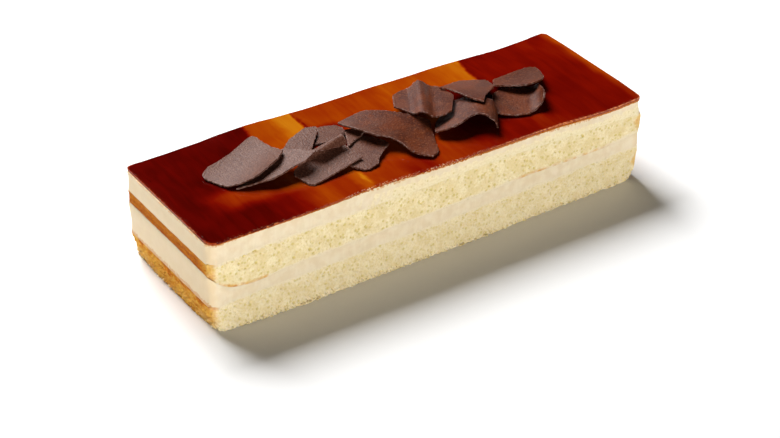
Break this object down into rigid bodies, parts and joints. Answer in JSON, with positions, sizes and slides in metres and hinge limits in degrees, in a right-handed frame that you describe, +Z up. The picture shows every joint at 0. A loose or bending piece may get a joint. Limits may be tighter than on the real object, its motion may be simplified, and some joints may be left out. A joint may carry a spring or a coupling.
{
  "type": "tres leches cake",
  "caption": "Bar-shaped tres leches cake of sponge and cream layers under a caramel glaze, topped with a row of loose dark chocolate shards.",
  "frame": {"origin": "middle of the flat underside", "axes": "+X along the bar, +Y across it, +Z up; the long side towards -Y and the short end towards -X are the ones the picture shows"},
  "size_m": [0.298, 0.1008, 0.0703],
  "materials": {
    "sponge": "porous pale yellow crumb, browned golden at the baked ends",
    "cream": "smooth ivory cream, soft sheen",
    "glaze": "clear glossy caramel, from deep maroon to amber and gold",
    "chocolate": "dull dark chocolate with a fine grain"
  },
  "bodies": {
    "root": {"sponge_bottom": "sponge", "cream_middle": "cream", "sponge_top": "sponge", "cream_top": "cream", "caramel_glaze": "glaze", "shard_01_broad": "chocolate", "shard_02_spear": "chocolate", "shard_03_leaf": "chocolate", "shard_04_chip": "chocolate", "shard_05_scroll": "chocolate", "shard_06_fan": "chocolate", "shard_07_sliver": "chocolate", "shard_08_wing": "chocolate", "shard_09_ridge": "chocolate", "shard_10_claw": "chocolate", "shard_11_flag": "chocolate", "shard_12_petal": "chocolate", "shard_13_curl": "chocolate"}
  },
  "joints": []
}
